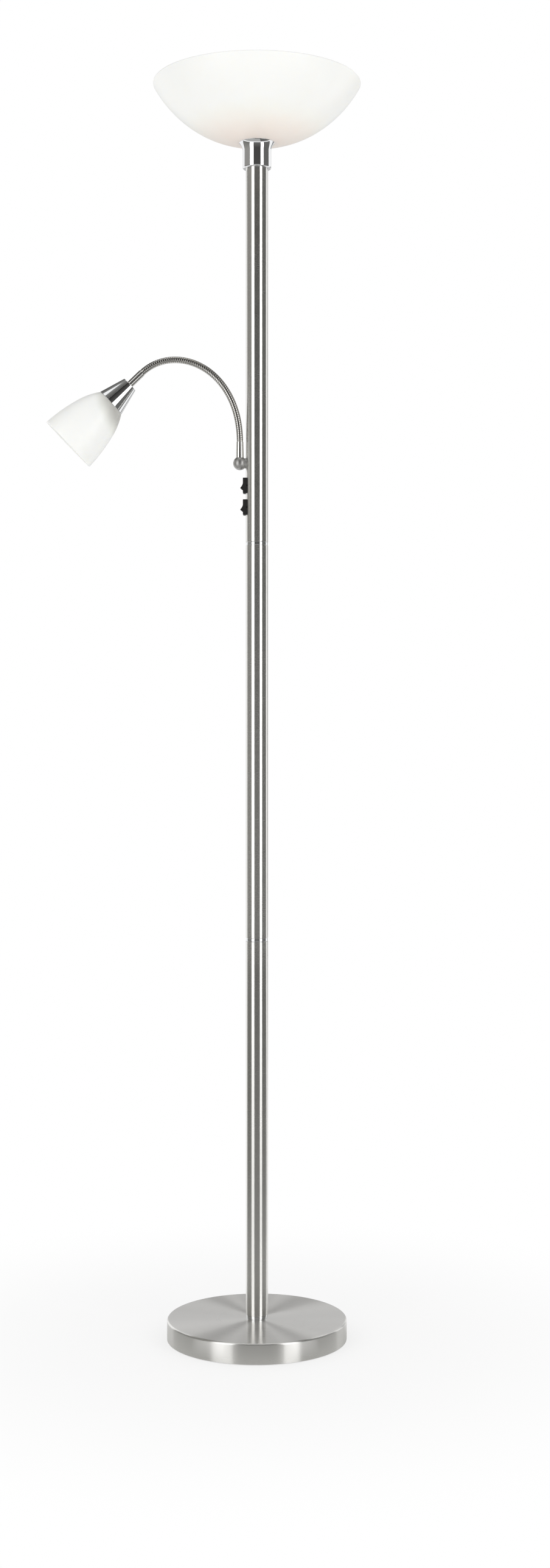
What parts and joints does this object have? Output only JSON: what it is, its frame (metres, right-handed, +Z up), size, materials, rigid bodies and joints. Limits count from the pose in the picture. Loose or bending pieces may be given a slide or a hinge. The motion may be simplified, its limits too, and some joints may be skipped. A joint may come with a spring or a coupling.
{
  "type": "torchiere floor lamp with reading light",
  "caption": "Floor lamp with an upward opal glass bowl on a straight brushed pole, a round weighted base, and a gooseneck reading light with its own rocker switch.",
  "frame": {"origin": "centre of the base's underside, on the floor", "axes": "+Z up along the pole; the reading arm leans towards -X in the XZ plane; +Y is behind"},
  "size_m": [0.4503, 0.298, 1.8],
  "materials": {
    "felt": "pressed felt, dark grey",
    "cast_iron": "raw casting",
    "brushed_nickel": "satin nickel plate, brushed round the axis",
    "gooseneck_steel": "satin nickel plate on a wound strip tube",
    "polished_chrome": "polished chrome plate",
    "black_rubber": "moulded, matt",
    "zinc_steel": "zinc plated",
    "white_plastic": "moulded heat-resistant plastic",
    "opal_glass": "blown opal glass, satin white",
    "bulb_dome": "frosted white dome",
    "black_plastic": "moulded, semi-gloss",
    "brass_tabs": "stamped"
  },
  "bodies": {
    "root": {"base_pad": "felt", "base_weight": "cast_iron", "base_cover": "brushed_nickel", "lead_bush": "black_rubber", "base_washer": "zinc_steel", "base_nut": "zinc_steel", "base_stem": "zinc_steel", "foot_ring": "polished_chrome", "pole_lower": "brushed_nickel", "seam_ring_lower": "polished_chrome", "pole_middle": "brushed_nickel", "seam_ring_upper": "polished_chrome", "pole_upper": "brushed_nickel", "tube_end_plugs": "zinc_steel", "seam_studs": "zinc_steel", "collar_cup": "polished_chrome", "top_stem": "zinc_steel", "collar_nut": "zinc_steel", "top_lampholder": "white_plastic", "bowl_shade": "opal_glass", "bowl_clamp_ring": "white_plastic", "top_bulb": "bulb_dome", "arm_boss": "brushed_nickel", "arm_ball": "brushed_nickel", "arm_stud": "zinc_steel", "arm_nut": "zinc_steel", "arm_ferrule": "brushed_nickel", "gooseneck_1": "gooseneck_steel", "switch_upper_housing": "black_plastic", "switch_lower_housing": "black_plastic", "switch_tabs": "brass_tabs"},
    "neck_2": {"gooseneck_2": "gooseneck_steel"},
    "neck_3": {"gooseneck_3": "gooseneck_steel"},
    "neck_4": {"gooseneck_4": "gooseneck_steel"},
    "neck_5": {"gooseneck_5": "gooseneck_steel"},
    "neck_6": {"gooseneck_6": "gooseneck_steel"},
    "neck_7": {"gooseneck_7": "gooseneck_steel"},
    "head": {"gooseneck_8": "gooseneck_steel", "head_ferrule": "brushed_nickel", "head_cup": "polished_chrome", "head_nipple": "zinc_steel", "head_nut": "zinc_steel", "head_lampholder": "white_plastic", "reading_shade": "opal_glass", "head_clamp_ring": "white_plastic", "head_bulb": "bulb_dome"},
    "rocker_upper": {"switch_upper_rocker": "black_plastic"},
    "rocker_lower": {"switch_lower_rocker": "black_plastic"}
  },
  "joints": [
    {"name": "neck_bend_1", "type": "hinge", "parent": "root", "child": "neck_2", "pos_m": [-0.02675, 0, 1.31315], "axis": [0, -1, 0], "range_deg": [-20, 14]},
    {"name": "neck_side_1", "type": "hinge", "parent": "neck_2", "child": "neck_3", "pos_m": [-0.0339, 0, 1.33953], "axis": [0.934, 0, 0.3573], "range_deg": [-18, 18]},
    {"name": "neck_bend_2", "type": "hinge", "parent": "neck_3", "child": "neck_4", "pos_m": [-0.04661, 0, 1.3637], "axis": [0, -1, 0], "range_deg": [-20, 14]},
    {"name": "neck_side_2", "type": "hinge", "parent": "neck_4", "child": "neck_5", "pos_m": [-0.06502, 0, 1.38385], "axis": [0.6394, 0, 0.7688], "range_deg": [-18, 18]},
    {"name": "neck_bend_3", "type": "hinge", "parent": "neck_5", "child": "neck_6", "pos_m": [-0.08842, 0, 1.39783], "axis": [0, -1, 0], "range_deg": [-20, 14]},
    {"name": "neck_side_3", "type": "hinge", "parent": "neck_6", "child": "neck_7", "pos_m": [-0.11506, 0, 1.4035], "axis": [0.036, 0, 0.9994], "range_deg": [-18, 18]},
    {"name": "neck_bend_4", "type": "hinge", "parent": "neck_7", "child": "head", "pos_m": [-0.14194, 0, 1.39928], "axis": [0, -1, 0], "range_deg": [-20, 14]},
    {"name": "rocker_upper_tip", "type": "hinge", "parent": "root", "child": "rocker_upper", "pos_m": [-0.0139, 0, 1.2228], "axis": [0, 1, 0], "range_deg": [-36, 0]},
    {"name": "rocker_lower_tip", "type": "hinge", "parent": "root", "child": "rocker_lower", "pos_m": [-0.0139, 0, 1.1918], "axis": [0, 1, 0], "range_deg": [-36, 0]}
  ],
  "couplings": [
    {"joint": "neck_bend_2", "follows": "neck_bend_1", "ratio": 1},
    {"joint": "neck_side_2", "follows": "neck_side_1", "ratio": 1},
    {"joint": "neck_bend_3", "follows": "neck_bend_1", "ratio": 1},
    {"joint": "neck_side_3", "follows": "neck_side_1", "ratio": 1},
    {"joint": "neck_bend_4", "follows": "neck_bend_1", "ratio": 1}
  ]
}
